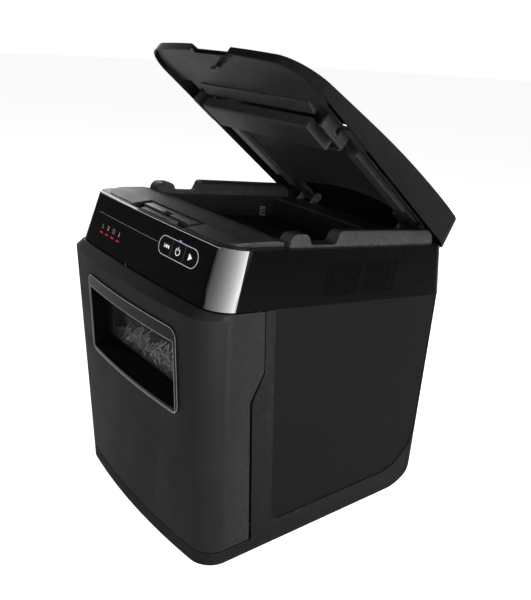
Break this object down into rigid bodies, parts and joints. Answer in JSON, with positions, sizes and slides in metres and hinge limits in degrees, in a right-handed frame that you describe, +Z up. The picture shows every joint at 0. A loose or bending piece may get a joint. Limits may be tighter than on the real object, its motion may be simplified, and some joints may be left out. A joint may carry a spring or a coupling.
{
  "type": "paper shredder",
  "caption": "Office paper shredder with an automatic feed tray under a hinged lid, a keyed control panel and a pull-out bin with a window.",
  "frame": {"origin": "middle of the width, middle of the whole depth with the lid open, on the surface that the feet stand on", "axes": "+X to the right seen from the front, -Y out of the front, +Z up"},
  "size_m": [0.3912, 0.4694, 0.6757],
  "materials": {
    "satin_casing": "satin, very fine grain",
    "gloss_band": "gloss black",
    "fascia_plastic": "fine matte texture",
    "gloss_panel": "high gloss black",
    "gloss_bezel": "high gloss black",
    "deck_plastic": "fine matte texture",
    "lid_plastic": "fine matte texture",
    "liner_plastic": "smooth semi-matte",
    "grey_plastic": "satin",
    "key_plastic": "gloss black",
    "clear_window": "clear, slightly smoked",
    "tub_plastic": "matte",
    "slide_plastic": "matte",
    "inlet_plastic": "matte",
    "shredded_paper": "uncoated",
    "foot_rubber": "matte",
    "roller_rubber": "matte, ribbed",
    "screw_steel": "zinc plated",
    "spring_steel": "drawn wire",
    "plate_steel": "plated sheet",
    "shaft_steel": "ground",
    "cutter_steel": "hardened, lightly oiled",
    "gear_steel": "sintered",
    "gear_plastic": "acetal, natural",
    "motor_steel": "satin paint",
    "bush_brass": "oiled bronze",
    "circuit_board": "solder mask",
    "red_lights": "translucent"
  },
  "bodies": {
    "cabinet": {"right_side_shell": "satin_casing", "left_side_shell": "satin_casing", "base_tray": "satin_casing", "rear_panel": "satin_casing", "rubber_feet": "foot_rubber", "casing_screws": "screw_steel", "drawer_runners": "slide_plastic", "head_band": "gloss_band", "control_panel": "gloss_panel", "top_deck": "deck_plastic", "side_ridges": "deck_plastic", "latch_strike": "grey_plastic", "latch_spring": "spring_steel", "hinge_brackets": "plate_steel", "hinge_pins": "shaft_steel", "status_lights": "red_lights", "circuit_boards": "circuit_board", "paper_tray": "deck_plastic", "throat_guides": "deck_plastic", "right_cutter_plate": "plate_steel", "left_cutter_plate": "plate_steel", "bearing_bushes": "bush_brass", "plate_rods": "shaft_steel", "stripper_combs": "slide_plastic", "motor_housing": "motor_steel", "gearbox_cover": "slide_plastic", "power_inlet": "inlet_plastic", "switch_body": "inlet_plastic", "bin_sensor": "inlet_plastic"},
    "bin": {"bin_fascia": "fascia_plastic", "window_bezel": "gloss_bezel", "bin_window": "clear_window", "bin_tub": "tub_plastic", "paper_shreds": "shredded_paper", "fascia_screws": "screw_steel"},
    "lid": {"lid_shell": "lid_plastic", "lid_front_liner": "liner_plastic", "lid_side_liners": "liner_plastic", "lid_vault": "liner_plastic", "bypass_chute": "liner_plastic", "bar_springs": "spring_steel"},
    "pressure_bar": {"pressure_bar": "liner_plastic"},
    "latch_button": {"latch_button": "grey_plastic"},
    "reverse_key": {"reverse_key": "key_plastic"},
    "power_key": {"power_key": "key_plastic"},
    "forward_key": {"forward_key": "key_plastic"},
    "rear_cutters": {"rear_cutter": "cutter_steel", "rear_cutter_gear": "gear_steel", "rear_feed_gear": "gear_plastic", "drive_gear": "gear_steel"},
    "front_cutters": {"front_cutter": "cutter_steel", "front_cutter_gear": "gear_steel", "front_feed_gear": "gear_plastic"},
    "front_roller": {"front_feed_roller": "roller_rubber", "front_roller_gear": "gear_plastic"},
    "rear_roller": {"rear_feed_roller": "roller_rubber", "rear_roller_gear": "gear_plastic"},
    "idler": {"idler_gear": "gear_plastic"},
    "rotor": {"motor_shaft": "shaft_steel"},
    "rocker": {"rocker_switch": "key_plastic"}
  },
  "joints": [
    {"name": "bin_slide", "type": "slide", "parent": "cabinet", "child": "bin", "axis": [0, -1, 0], "range_m": [0, 0.33]},
    {"name": "lid_hinge", "type": "hinge", "parent": "cabinet", "child": "lid", "pos_m": [0, 0.2, 0.424], "axis": [1, 0, 0], "range_deg": [-6.5, 33.5]},
    {"name": "pressure_bar_slide", "type": "slide", "parent": "lid", "child": "pressure_bar", "axis": [0, 0.6428, 0.766], "range_m": [0, 0.008]},
    {"name": "latch_press", "type": "slide", "parent": "cabinet", "child": "latch_button", "axis": [0, -0.1132, -0.9936], "range_m": [0, 0.0025], "stiffness_N_per_m": 400, "springref_m": -0.001, "deforming": ["latch_spring"]},
    {"name": "reverse_press", "type": "slide", "parent": "cabinet", "child": "reverse_key", "axis": [-0.0283, 0.945, -0.3258], "range_m": [0, 0.0006], "stiffness_N_per_m": 500, "springref_m": -0.0005},
    {"name": "power_press", "type": "slide", "parent": "cabinet", "child": "power_key", "axis": [-0.0283, 0.945, -0.3258], "range_m": [0, 0.0006], "stiffness_N_per_m": 500, "springref_m": -0.0005},
    {"name": "forward_press", "type": "slide", "parent": "cabinet", "child": "forward_key", "axis": [-0.0283, 0.945, -0.3258], "range_m": [0, 0.0006], "stiffness_N_per_m": 500, "springref_m": -0.0005},
    {"name": "rocker_tilt", "type": "hinge", "parent": "cabinet", "child": "rocker", "pos_m": [-0.081, 0.202, 0.102], "axis": [1, 0, 0], "range_deg": [0, 20]},
    {"name": "rear_cutter_spin", "type": "hinge", "parent": "cabinet", "child": "rear_cutters", "pos_m": [0, -0.01172, 0.35068], "axis": [1, 0, 0], "continuous": true},
    {"name": "front_cutter_spin", "type": "hinge", "parent": "cabinet", "child": "front_cutters", "pos_m": [0, -0.04749, 0.35475], "axis": [1, 0, 0], "continuous": true},
    {"name": "idler_spin", "type": "hinge", "parent": "cabinet", "child": "idler", "pos_m": [0, 0.04033, 0.34072], "axis": [1, 0, 0], "continuous": true},
    {"name": "rotor_spin", "type": "hinge", "parent": "cabinet", "child": "rotor", "pos_m": [0, 0.08576, 0.35064], "axis": [1, 0, 0], "continuous": true},
    {"name": "front_roller_spin", "type": "hinge", "parent": "cabinet", "child": "front_roller", "pos_m": [0, -0.07079, 0.39758], "axis": [1, 0, 0], "continuous": true},
    {"name": "rear_roller_spin", "type": "hinge", "parent": "cabinet", "child": "rear_roller", "pos_m": [0, 0.02062, 0.38716], "axis": [1, 0, 0], "continuous": true}
  ],
  "couplings": [
    {"joint": "front_cutter_spin", "follows": "rear_cutter_spin", "ratio": -1},
    {"joint": "idler_spin", "follows": "rear_cutter_spin", "ratio": -3.0769},
    {"joint": "rotor_spin", "follows": "rear_cutter_spin", "ratio": 12.821},
    {"joint": "rear_roller_spin", "follows": "rear_cutter_spin", "ratio": -1.2414},
    {"joint": "front_roller_spin", "follows": "rear_cutter_spin", "ratio": 1.2414}
  ]
}
